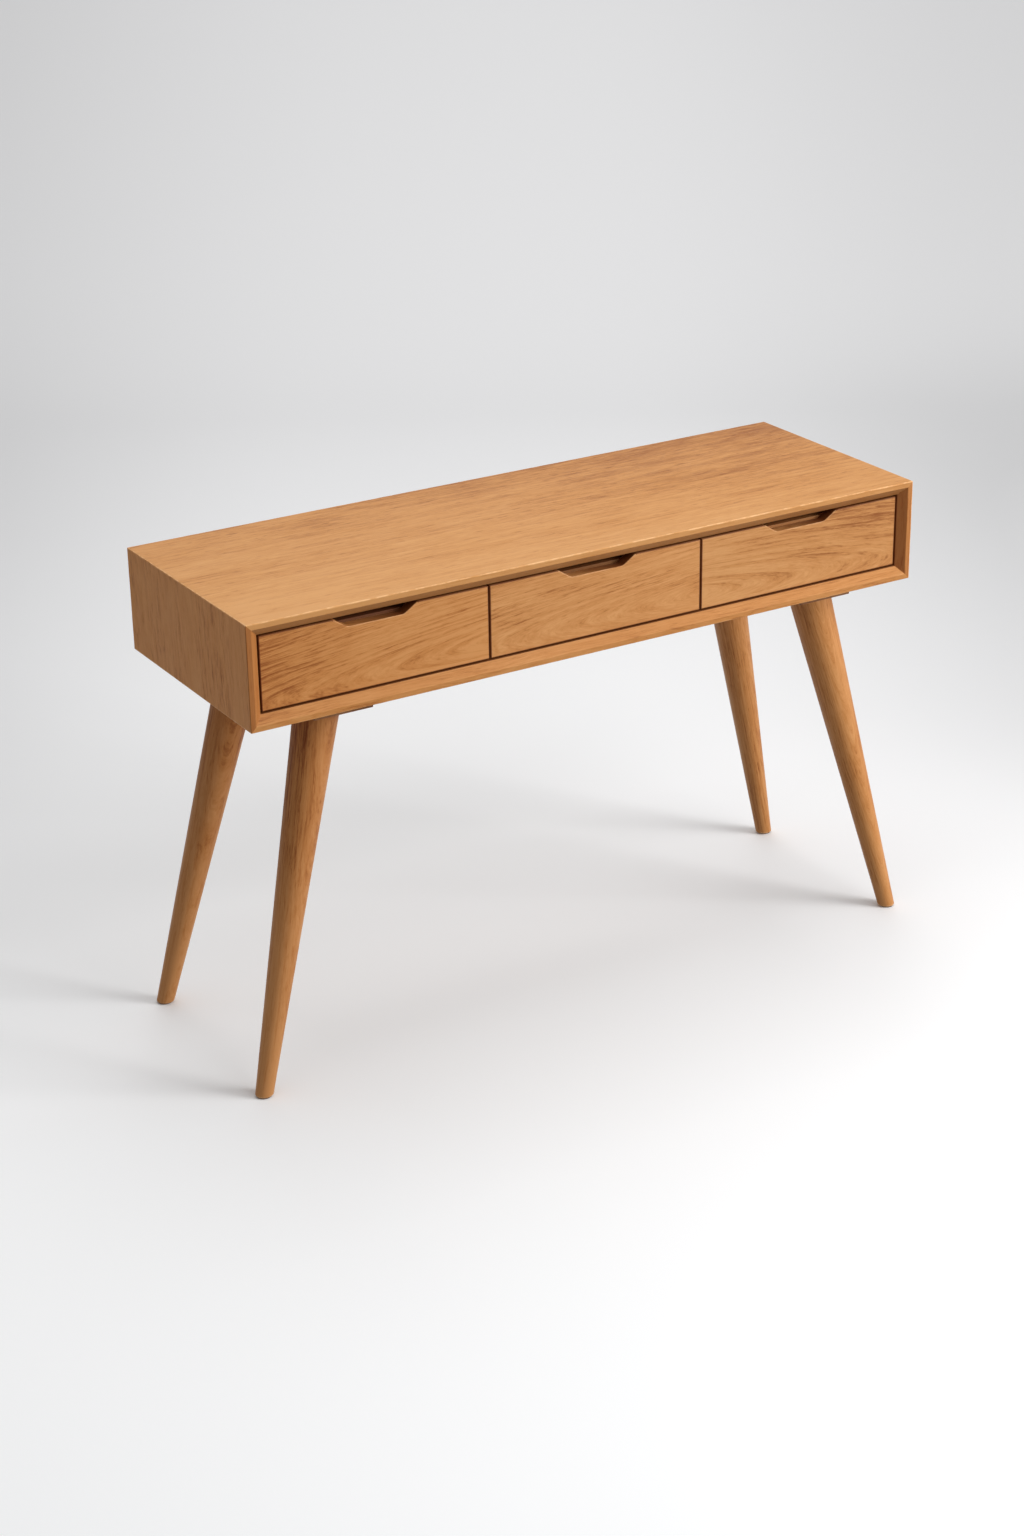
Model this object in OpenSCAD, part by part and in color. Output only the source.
// Writing desk: a mitred four-board case with three inset drawers on four splayed turned legs.
// Units are millimetres. Z is up, X runs along the desk and the drawers open towards -Y.
// The origin is on the floor, under the middle of the case.

/* [Overall size] */
// Length of the case, end to end
case_w = 1200; // [1120:10:1280]
// Depth of the case, front to back
case_d = 408; // [400:2:430]
// Height of the case
case_h = 166; // [160:1:180]
// Height of the desk top above the floor
desk_h = 774; // [740:2:800]

/* [Case boards] */
// Thickness of the four outer boards
board_t = 22; // [20:1:24]
// Width of the flat band round the front edge
band_w = 9; // [6:0.5:12]
// Distance the drawer fronts sit behind the case's front edge
recess = 12; // [8:1:16]
// Thickness of the upright dividers between the drawers
divider_t = 14; // [12:1:18]
// Thickness of the back panel
back_t = 9; // [6:1:10]
// Width of the ledge that the back panel is let into
ledge_w = 8; // [6:1:10]
// Thickness of the spline in each mitred corner
spline_t = 4; // [3:0.5:5]
// Width of the spline, across the joint
spline_w = 14; // [10:1:16]

/* [Drawers] */
// Thickness of a drawer front
front_t = 20; // [16:1:22]
// Gap round every drawer front
front_gap = 3; // [2:0.5:4]
// Thickness of a drawer's inner box boards
box_t = 12; // [10:1:14]
// Length of a drawer's inner box, front to back
box_len = 350; // [330:5:350]
// Height of a drawer's inner box
box_h = 93; // [84:1:93]
// Height of the inner box's front board above its other boards
box_front_rise = 4; // [0:1:6]
// Height of the inner box above the case's floor
box_lift = 11; // [8:1:12]
// Thickness of a drawer's bottom panel
bottom_t = 4; // [3:0.5:6]
// Distance a drawer slides out
travel = 250; // [200:10:260]

/* [Finger notch] */
// Width of the notch at the top edge, before its corners are rounded
notch_top_w = 140; // [120:2:160]
// Width of the notch's floor, before its corners are rounded
notch_floor_w = 94; // [80:2:110]
// Depth of the notch below the top edge
notch_depth = 15; // [12:1:16]
// Rounding of the notch's four corners
notch_r = 14; // [8:1:16]

/* [Runners] */
// Room between the inner box and the wall beside it
runner_room = 13; // [13:0.5:14]
// Height of the fixed half of a runner
runner_h = 34; // [30:1:38]
// Thickness of the runner's sheet metal
sheet_t = 1.2; // [1:0.1:1.5]

/* [Legs] */
// Diameter of a leg where it meets the case
leg_top_dia = 71; // [60:1:76]
// Diameter of a leg at the floor
leg_foot_dia = 28; // [26:1:34]
// Distance of a leg's centre from the desk's middle, at the top, along the desk
leg_top_x = 450; // [430:5:470]
// The same distance at the floor
leg_foot_x = 602; // [580:2:610]
// Distance of a leg's centre from the desk's middle, at the top, across the desk
leg_top_y = 124; // [116:2:130]
// The same distance at the floor
leg_foot_y = 180; // [160:2:186]
// Thickness of the block between a leg and the case
block_t = 10; // [8:1:14]
// Size of that block along the desk
block_w = 98; // [94:1:106]
// Size of that block across the desk
block_d = 128; // [120:2:140]
// Diameter of the glide under each foot
glide_dia = 24; // [20:1:26]
// Thickness of the glide under each foot
glide_t = 2; // [1.5:0.5:3]

/* [Hidden] */

$fn = 64;
LEFT = -1;
RIGHT = 1;
FRONT = -1;
BACK = 1;
SLACK = 1; // how far a cutter passes the face it cuts
SEAM_TURN = 45; // keeps the seam of a slanted round body off the long axis of its cut end
ARC_STEPS = 8; // straight pieces in each rounded corner of a notch

WOOD = [0.76, 0.53, 0.31];
DARK_WOOD = [0.60, 0.40, 0.22];
BOX_WOOD = [0.80, 0.66, 0.46];
PLY = [0.82, 0.70, 0.52];
STEEL = [0.70, 0.71, 0.72];
BRASS = [0.78, 0.65, 0.38];
NYLON = [0.16, 0.15, 0.14];

// Case
half_w = case_w / 2;
half_d = case_d / 2;
case_z0 = desk_h - case_h;
inner_half_w = half_w - board_t;
floor_z = case_z0 + board_t;
ceiling_z = desk_h - board_t;
back_y = half_d - back_t;
bevel_w = board_t - band_w;

// Compartments: three of equal width between the dividers
bay_w = (2 * inner_half_w - 2 * divider_t) / 3;
bay_pitch = bay_w + divider_t;
divider_x = bay_pitch / 2;
divider_y0 = -half_d + recess + front_t + 3;

// Drawer fronts: three of equal width, with the same gap everywhere
front_w = (2 * inner_half_w - 4 * front_gap) / 3;
front_pitch = front_w + front_gap;
front_h = ceiling_z - floor_z - 2 * front_gap;
front_top_z = ceiling_z - front_gap;
front_y0 = -half_d + recess;
front_y1 = front_y0 + front_t;

// Drawer boxes
box_half_w = bay_w / 2 - runner_room;
box_y1 = front_y1 + box_len;
box_z0 = floor_z + box_lift;
groove_d = 5;
bottom_z0 = box_z0 + 8;

// Runners, measured out from the wall (u) and up from the middle (v)
runner_z = box_z0 + box_h / 2;
runner_y0 = divider_y0;
runner_y1 = box_y1 + 2;
runner_v = runner_h / 2;
flange_u = 8;
lip_w = sheet_t;
lip_v = runner_v - sheet_t - 2.8;
play = 0.4;
rail_u0 = sheet_t + play;
rail_u1 = flange_u - lip_w - play;
rail_v1 = runner_v - sheet_t - play;
rail_v0 = rail_v1 - 4.4;
neck_v = lip_v - play;
stop_t = 3;
stop_half_h = 7;
stop_u1 = 6;
bridge_u0 = 4;
bridge_y0 = box_y1 - stop_t;
stop_y0 = bridge_y0 - travel - 0.5 - stop_t;

// Legs, each a cone on a slanted axis that starts at the floor
run_x = leg_top_x - leg_foot_x;
run_y = leg_top_y - leg_foot_y;
leg_tilt = atan2(norm([run_x, run_y]), case_z0);
leg_heading = atan2(run_y, run_x);
leg_len = norm([run_x, run_y, case_z0]);
leg_taper = (leg_top_dia - leg_foot_dia) / 2 / leg_len;
leg_top_z = case_z0 - block_t;
leg_joint = leg_top_z / cos(leg_tilt);
block_x0 = leg_top_x - 58;
block_y0 = leg_top_y - block_d / 2;

// Fasteners
dowel_dia = 6;
dowel_len = 24;
dowel_ys = [-140, 10, 160];
bolt_dia = 8;
bolt_below = 55;
bolt_above = 21;
insert_dia = 12;
insert_bore_dia = 8.1;
insert_len = 20;
tack_dia = 2.4;
tack_len = 12;
case_runner_screw_ys = [-150, 10, 160];
case_runner_screw_v = 4;
drawer_runner_screw_ys = [-120, 130];
front_screw_x = 110;
front_screw_zs = [box_z0 + 24, box_z0 + 71];

// Where each compartment and each front is centred: -1 left, 0 middle, 1 right
function bay_x(bay) = bay * bay_pitch;
function front_x(bay) = bay * front_pitch;

// ---------- shared shapes ----------

// A box between two opposite corners
module block(low, high) {
    translate(low)
        cube(high - low);
}

// A profile drawn in Y and Z, run along X between x0 and x1
module along_x(x0, x1) {
    translate([x0, 0, 0])
        rotate([90, 0, 90])
            linear_extrude(height = x1 - x0)
                children();
}

// A profile drawn in X and Z, run along Y between y0 and y1
module along_y(y0, y1) {
    translate([0, y1, 0])
        rotate([90, 0, 0])
            linear_extrude(height = y1 - y0)
                children();
}

// Countersunk screw that points up, with the top of its head at z = 0
module flat_screw(len, dia, head_dia, head_t) {
    cylinder(h = len, r = dia / 2);
    cylinder(h = head_t, r1 = head_dia / 2, r2 = dia / 2);
}

// Pan-head screw that points up, with its head below z = 0
module pan_screw(len, dia, head_dia, head_t) {
    cylinder(h = len, r = dia / 2);
    translate([0, 0, -head_t])
        cylinder(h = head_t, r = head_dia / 2);
}

// ---------- case ----------

// The case's outline, front to back, as one board seen from its end.
// d is the distance from the board's outer face, y runs from the front edge to the back.
module board_profile() {
    polygon([
        [-half_d, 0],
        [half_d, 0],
        [half_d, board_t - ledge_w],
        [back_y, board_t - ledge_w],
        [back_y, board_t],
        [front_y0, board_t],
        [-half_d, band_w]
    ]);
}

// One board of the given half length, outer face down at z = 0, both ends mitred at 45 degrees
module mitred_board(half_len) {
    intersection() {
        along_x(-half_len, half_len)
            board_profile();
        along_y(-half_d, half_d)
            polygon([
                [-half_len, 0],
                [half_len, 0],
                [half_len - board_t, board_t],
                [-half_len + board_t, board_t]
            ]);
    }
}

// A spline through the middle of each mitre, at all four corners
module spline_set() {
    for (sx = [LEFT, RIGHT])
        for (end = [0, 1])
            translate([sx * (half_w - board_t / 2), 0, end == 0 ? case_z0 + board_t / 2 : desk_h - board_t / 2])
                rotate([0, (end == 0 ? 45 : -45) * sx, 0])
                    block([-spline_w / 2, -170, -spline_t / 2], [spline_w / 2, 180, spline_t / 2]);
}

// Upright dowels that join both dividers to the top and the bottom boards
module dowel_set() {
    for (sx = [LEFT, RIGHT])
        for (z = [floor_z, ceiling_z])
            for (y = dowel_ys)
                translate([sx * divider_x, y, z - dowel_len / 2])
                    cylinder(h = dowel_len, r = dowel_dia / 2);
}

// One screw in from the back
module back_screw(x, z) {
    translate([x, half_d, z])
        rotate([90, 0, 0])
            flat_screw(20, 3, 6, 2);
}

// Screws through the back panel into the dividers and the ledge
module back_screw_set() {
    for (sx = [LEFT, RIGHT]) {
        for (z = [floor_z + 21, (floor_z + ceiling_z) / 2, ceiling_z - 21])
            back_screw(sx * divider_x, z);
        back_screw(sx * (inner_half_w + ledge_w / 2), (floor_z + ceiling_z) / 2);
    }
    for (bay = [-1, 0, 1])
        for (z = [floor_z - ledge_w / 2, ceiling_z + ledge_w / 2])
            back_screw(bay_x(bay), z);
}

module top_panel() {
    color(WOOD)
        difference() {
            translate([0, 0, desk_h])
                mirror([0, 0, 1])
                    mitred_board(half_w);
            spline_set();
            dowel_set();
            back_screw_set();
        }
}

module bottom_panel() {
    color(WOOD)
        difference() {
            translate([0, 0, case_z0])
                mitred_board(half_w);
            spline_set();
            dowel_set();
            back_screw_set();
            leg_insert_holes();
            leg_block_screw_set();
        }
}

// An end board on the given side
module side_panel(sx) {
    color(WOOD)
        difference() {
            translate([sx * half_w, 0, case_z0 + case_h / 2])
                rotate([0, -sx * 90, 0])
                    mitred_board(case_h / 2);
            spline_set();
            back_screw_set();
            case_runner_screw_set();
        }
}

module left_side_panel() {
    side_panel(LEFT);
}

module right_side_panel() {
    side_panel(RIGHT);
}

module back_panel() {
    color(PLY)
        difference() {
            block(
                [-inner_half_w - ledge_w, back_y, floor_z - ledge_w],
                [inner_half_w + ledge_w, half_d, ceiling_z + ledge_w]
            );
            back_screw_set();
        }
}

module divider(sx) {
    color(BOX_WOOD)
        difference() {
            block(
                [sx * divider_x - divider_t / 2, divider_y0, floor_z],
                [sx * divider_x + divider_t / 2, back_y, ceiling_z]
            );
            dowel_set();
            back_screw_set();
            case_runner_screw_set();
        }
}

module left_divider() {
    divider(LEFT);
}

module right_divider() {
    divider(RIGHT);
}

module corner_splines() {
    color(BOX_WOOD)
        spline_set();
}

module divider_dowels() {
    color(BOX_WOOD)
        dowel_set();
}

module back_panel_screws() {
    color(STEEL)
        back_screw_set();
}

// ---------- legs ----------

// Children drawn upwards from the foot's centre are laid along the slanted axis of a leg,
// turned by SEAM_TURN about that axis. sx and sy say which corner of the desk the leg is at.
module at_leg(sx, sy) {
    mirror([sx == LEFT ? 1 : 0, 0, 0])
        mirror([0, sy == FRONT ? 1 : 0, 0])
            translate([leg_foot_x, leg_foot_y, 0])
                rotate([0, leg_tilt, leg_heading])
                    rotate([0, 0, SEAM_TURN])
                        children();
}

module leg_bolt(sx, sy) {
    at_leg(sx, sy)
        translate([0, 0, leg_joint - bolt_below])
            cylinder(h = bolt_below + bolt_above, r = bolt_dia / 2);
}

module leg_insert_hole(sx, sy) {
    at_leg(sx, sy)
        translate([0, 0, leg_joint - 6])
            cylinder(h = insert_len + 8, r = insert_dia / 2);
}

module leg_insert_holes() {
    for (sx = [LEFT, RIGHT])
        for (sy = [FRONT, BACK])
            leg_insert_hole(sx, sy);
}

// A round glide with a tack that goes up into the foot
module glide(sx, sy) {
    translate([sx * leg_foot_x, sy * leg_foot_y, 0]) {
        cylinder(h = glide_t, r = glide_dia / 2);
        cylinder(h = glide_t + tack_len, r = tack_dia / 2);
    }
}

module leg(sx, sy) {
    color(WOOD)
        difference() {
            intersection() {
                at_leg(sx, sy)
                    translate([0, 0, -20])
                        cylinder(
                            h = leg_len + 60,
                            r1 = leg_foot_dia / 2 - 20 * leg_taper,
                            r2 = leg_foot_dia / 2 + (leg_len + 40) * leg_taper
                        );
                block([-half_w * 2, -half_d * 2, glide_t], [half_w * 2, half_d * 2, leg_top_z]);
            }
            leg_bolt(sx, sy);
            glide(sx, sy);
        }
}

module front_left_leg() {
    leg(LEFT, FRONT);
}

module front_right_leg() {
    leg(RIGHT, FRONT);
}

module back_left_leg() {
    leg(LEFT, BACK);
}

module back_right_leg() {
    leg(RIGHT, BACK);
}

// Four screws up through a block, outside the leg's top
module leg_block_screw_set() {
    for (sx = [LEFT, RIGHT])
        for (sy = [FRONT, BACK])
            for (x = [block_x0 + 9, block_x0 + block_w - 9])
                for (y = [block_y0 + 9, block_y0 + block_d - 9])
                    translate([sx * x, sy * y, leg_top_z])
                        flat_screw(24, 4, 8, 2.5);
}

module leg_block(sx, sy) {
    color(DARK_WOOD)
        difference() {
            mirror([sx == LEFT ? 1 : 0, 0, 0])
                mirror([0, sy == FRONT ? 1 : 0, 0])
                    block(
                        [block_x0, block_y0, leg_top_z],
                        [block_x0 + block_w, block_y0 + block_d, case_z0]
                    );
            leg_insert_hole(sx, sy);
            leg_block_screw_set();
        }
}

module front_left_leg_block() {
    leg_block(LEFT, FRONT);
}

module front_right_leg_block() {
    leg_block(RIGHT, FRONT);
}

module back_left_leg_block() {
    leg_block(LEFT, BACK);
}

module back_right_leg_block() {
    leg_block(RIGHT, BACK);
}

module leg_block_screws() {
    color(STEEL)
        leg_block_screw_set();
}

module leg_bolts() {
    color(STEEL)
        for (sx = [LEFT, RIGHT])
            for (sy = [FRONT, BACK])
                leg_bolt(sx, sy);
}

// A threaded sleeve round the upper half of each leg bolt
module leg_bolt_inserts() {
    color(BRASS)
        for (sx = [LEFT, RIGHT])
            for (sy = [FRONT, BACK])
                at_leg(sx, sy)
                    translate([0, 0, leg_joint + 2])
                        difference() {
                            cylinder(h = insert_len, r = insert_dia / 2);
                            translate([0, 0, -SLACK])
                                cylinder(h = insert_len + 2 * SLACK, r = insert_bore_dia / 2);
                        }
}

module foot_glides() {
    color(NYLON)
        for (sx = [LEFT, RIGHT])
            for (sy = [FRONT, BACK])
                glide(sx, sy);
}

// ---------- runners ----------

// Children drawn with u outwards from the wall and v up are placed beside a drawer box.
// side is the side of the compartment whose wall they stand on.
module at_runner(bay, side) {
    translate([bay_x(bay), 0, runner_z])
        mirror([side == RIGHT ? 1 : 0, 0, 0])
            translate([-bay_w / 2, 0, 0])
                children();
}

// The fixed half: a folded channel, closed at the back, with a stop tab near its front
module case_runner(bay, side) {
    color(STEEL)
        at_runner(bay, side)
            difference() {
                union() {
                    along_y(runner_y0, runner_y1)
                        case_runner_profile();
                    block([sheet_t / 2, runner_y1 - 1.5, -runner_v + 1], [flange_u, runner_y1, runner_v - 1]);
                    block([sheet_t / 2, stop_y0, -stop_half_h], [stop_u1, stop_y0 + stop_t, stop_half_h]);
                }
                for (y = case_runner_screw_ys)
                    translate([0, y, side * -case_runner_screw_v])
                        rotate([0, 90, 0])
                            translate([0, 0, -SLACK])
                                cylinder(h = sheet_t + 2 * SLACK, r = 1.75);
            }
}

module case_runner_profile() {
    polygon([
        [0, -runner_v],
        [flange_u, -runner_v],
        [flange_u, -lip_v],
        [flange_u - lip_w, -lip_v],
        [flange_u - lip_w, -runner_v + sheet_t],
        [sheet_t, -runner_v + sheet_t],
        [sheet_t, runner_v - sheet_t],
        [flange_u - lip_w, runner_v - sheet_t],
        [flange_u - lip_w, lip_v],
        [flange_u, lip_v],
        [flange_u, runner_v],
        [0, runner_v]
    ]);
}

// The moving half: a channel with a solid rail along each edge, held behind the lips
module drawer_runner(bay, side) {
    color(STEEL)
        at_runner(bay, side)
            difference() {
                union() {
                    along_y(front_y1 + 2, box_y1)
                        drawer_runner_profile();
                    block(
                        [bridge_u0, bridge_y0, -rail_v0 - 0.5],
                        [runner_room - sheet_t / 2, box_y1, rail_v0 + 0.5]
                    );
                }
                for (y = drawer_runner_screw_ys)
                    translate([runner_room - sheet_t - SLACK, y, 0])
                        rotate([0, 90, 0])
                            cylinder(h = sheet_t + 2 * SLACK, r = 1.75);
            }
}

module drawer_runner_profile() {
    polygon([
        [rail_u0, -rail_v1],
        [rail_u1, -rail_v1],
        [rail_u1, -neck_v],
        [runner_room, -neck_v],
        [runner_room, neck_v],
        [rail_u1, neck_v],
        [rail_u1, rail_v1],
        [rail_u0, rail_v1],
        [rail_u0, rail_v0],
        [runner_room - sheet_t, rail_v0],
        [runner_room - sheet_t, -rail_v0],
        [rail_u0, -rail_v0]
    ]);
}

// Screws through the fixed half into the wall behind it
module runner_wall_screws(bay, side) {
    at_runner(bay, side)
        for (y = case_runner_screw_ys)
            translate([sheet_t, y, side * -case_runner_screw_v])
                rotate([0, -90, 0])
                    pan_screw(11, 3.5, 6.4, 1.8);
}

module case_runner_screw_set() {
    for (bay = [-1, 0, 1])
        for (side = [LEFT, RIGHT])
            runner_wall_screws(bay, side);
}

module left_drawer_left_case_runner() {
    case_runner(-1, LEFT);
}

module left_drawer_right_case_runner() {
    case_runner(-1, RIGHT);
}

module middle_drawer_left_case_runner() {
    case_runner(0, LEFT);
}

module middle_drawer_right_case_runner() {
    case_runner(0, RIGHT);
}

module right_drawer_left_case_runner() {
    case_runner(1, LEFT);
}

module right_drawer_right_case_runner() {
    case_runner(1, RIGHT);
}

module case_runner_screws() {
    color(STEEL)
        case_runner_screw_set();
}

// ---------- drawers ----------

// Points on an arc about a centre, from one angle to another
function arc(centre, r, from, to) = [
    for (i = [0:ARC_STEPS])
        let (a = from + (to - from) * i / ARC_STEPS)
            centre + r * [cos(a), sin(a)]
];

// The same points on the other side of the middle line, in the opposite order
function mirrored(points) = [
    for (i = [len(points) - 1:-1:0])
        [-points[i][0], points[i][1]]
];

// The notch as a flat shape: x across the front, y up from its top edge.
// The floor's corners are rounded inwards and the top's corners are rounded over.
module notch_shape() {
    half_floor = notch_floor_w / 2;
    half_top = notch_top_w / 2;
    slope = atan2(notch_depth, half_top - half_floor);
    tangent = notch_r * tan(slope / 2);
    floor_corner = arc([half_floor - tangent, notch_r - notch_depth], notch_r, -90, slope - 90);
    top_corner = arc([half_top + tangent, -notch_r], notch_r, slope + 90, 90);
    right = concat(floor_corner, top_corner, [[half_top + tangent, SLACK]]);
    polygon(concat(right, mirrored(right)));
}

module drawer_front(bay) {
    color(WOOD)
        difference() {
            block(
                [front_x(bay) - front_w / 2, front_y0, front_top_z - front_h],
                [front_x(bay) + front_w / 2, front_y1, front_top_z]
            );
            translate([front_x(bay), 0, front_top_z])
                along_y(front_y0 - SLACK, front_y1 + SLACK)
                    notch_shape();
            front_screw_set(bay);
        }
}

// The bottom panel, let into grooves in all four box boards
module bottom_board(bay) {
    block(
        [bay_x(bay) - box_half_w + box_t - groove_d, front_y1 + box_t - groove_d, bottom_z0],
        [bay_x(bay) + box_half_w - box_t + groove_d, box_y1 - box_t + groove_d, bottom_z0 + bottom_t]
    );
}

// A box board that runs from one side board to the other. rise is its extra height
module cross_board(bay, y0, rise = 0) {
    color(BOX_WOOD)
        difference() {
            block(
                [bay_x(bay) - box_half_w + box_t, y0, box_z0],
                [bay_x(bay) + box_half_w - box_t, y0 + box_t, box_z0 + box_h + rise]
            );
            bottom_board(bay);
            front_screw_set(bay);
        }
}

// A side board, on the given side of the box
module side_board(bay, side) {
    color(BOX_WOOD)
        difference() {
            translate([bay_x(bay) + side * (box_half_w - box_t / 2), 0, 0])
                block([-box_t / 2, front_y1, box_z0], [box_t / 2, box_y1, box_z0 + box_h]);
            bottom_board(bay);
            runner_screw_set(bay);
        }
}

// Screws from inside the box into the drawer front
module front_screw_set(bay) {
    for (sx = [LEFT, RIGHT])
        for (z = front_screw_zs)
            translate([bay_x(bay) + sx * front_screw_x, front_y1 + box_t, z])
                rotate([90, 0, 0])
                    flat_screw(24, 4, 8, 2.5);
}

// Screws from inside the moving half of each runner into the side board
module runner_screw_set(bay) {
    for (side = [LEFT, RIGHT])
        at_runner(bay, side)
            for (y = drawer_runner_screw_ys)
                translate([runner_room - sheet_t, y, 0])
                    rotate([0, 90, 0])
                        pan_screw(10, 3.5, 6.4, 1.6);
}

module left_drawer_front() {
    drawer_front(-1);
}

module left_drawer_box_front() {
    cross_board(-1, front_y1, box_front_rise);
}

module left_drawer_left_side() {
    side_board(-1, LEFT);
}

module left_drawer_right_side() {
    side_board(-1, RIGHT);
}

module left_drawer_back() {
    cross_board(-1, box_y1 - box_t);
}

module left_drawer_bottom() {
    color(PLY)
        bottom_board(-1);
}

module left_drawer_front_screws() {
    color(STEEL)
        front_screw_set(-1);
}

module left_drawer_left_runner() {
    drawer_runner(-1, LEFT);
}

module left_drawer_right_runner() {
    drawer_runner(-1, RIGHT);
}

module left_drawer_runner_screws() {
    color(STEEL)
        runner_screw_set(-1);
}

module middle_drawer_front() {
    drawer_front(0);
}

module middle_drawer_box_front() {
    cross_board(0, front_y1, box_front_rise);
}

module middle_drawer_left_side() {
    side_board(0, LEFT);
}

module middle_drawer_right_side() {
    side_board(0, RIGHT);
}

module middle_drawer_back() {
    cross_board(0, box_y1 - box_t);
}

module middle_drawer_bottom() {
    color(PLY)
        bottom_board(0);
}

module middle_drawer_front_screws() {
    color(STEEL)
        front_screw_set(0);
}

module middle_drawer_left_runner() {
    drawer_runner(0, LEFT);
}

module middle_drawer_right_runner() {
    drawer_runner(0, RIGHT);
}

module middle_drawer_runner_screws() {
    color(STEEL)
        runner_screw_set(0);
}

module right_drawer_front() {
    drawer_front(1);
}

module right_drawer_box_front() {
    cross_board(1, front_y1, box_front_rise);
}

module right_drawer_left_side() {
    side_board(1, LEFT);
}

module right_drawer_right_side() {
    side_board(1, RIGHT);
}

module right_drawer_back() {
    cross_board(1, box_y1 - box_t);
}

module right_drawer_bottom() {
    color(PLY)
        bottom_board(1);
}

module right_drawer_front_screws() {
    color(STEEL)
        front_screw_set(1);
}

module right_drawer_left_runner() {
    drawer_runner(1, LEFT);
}

module right_drawer_right_runner() {
    drawer_runner(1, RIGHT);
}

module right_drawer_runner_screws() {
    color(STEEL)
        runner_screw_set(1);
}

top_panel();
bottom_panel();
left_side_panel();
right_side_panel();
back_panel();
left_divider();
right_divider();
corner_splines();
divider_dowels();
back_panel_screws();
front_left_leg();
front_right_leg();
back_left_leg();
back_right_leg();
front_left_leg_block();
front_right_leg_block();
back_left_leg_block();
back_right_leg_block();
leg_block_screws();
leg_bolts();
leg_bolt_inserts();
foot_glides();
left_drawer_left_case_runner();
left_drawer_right_case_runner();
middle_drawer_left_case_runner();
middle_drawer_right_case_runner();
right_drawer_left_case_runner();
right_drawer_right_case_runner();
case_runner_screws();
left_drawer_front();
left_drawer_box_front();
left_drawer_left_side();
left_drawer_right_side();
left_drawer_back();
left_drawer_bottom();
left_drawer_front_screws();
left_drawer_left_runner();
left_drawer_right_runner();
left_drawer_runner_screws();
middle_drawer_front();
middle_drawer_box_front();
middle_drawer_left_side();
middle_drawer_right_side();
middle_drawer_back();
middle_drawer_bottom();
middle_drawer_front_screws();
middle_drawer_left_runner();
middle_drawer_right_runner();
middle_drawer_runner_screws();
right_drawer_front();
right_drawer_box_front();
right_drawer_left_side();
right_drawer_right_side();
right_drawer_back();
right_drawer_bottom();
right_drawer_front_screws();
right_drawer_left_runner();
right_drawer_right_runner();
right_drawer_runner_screws();
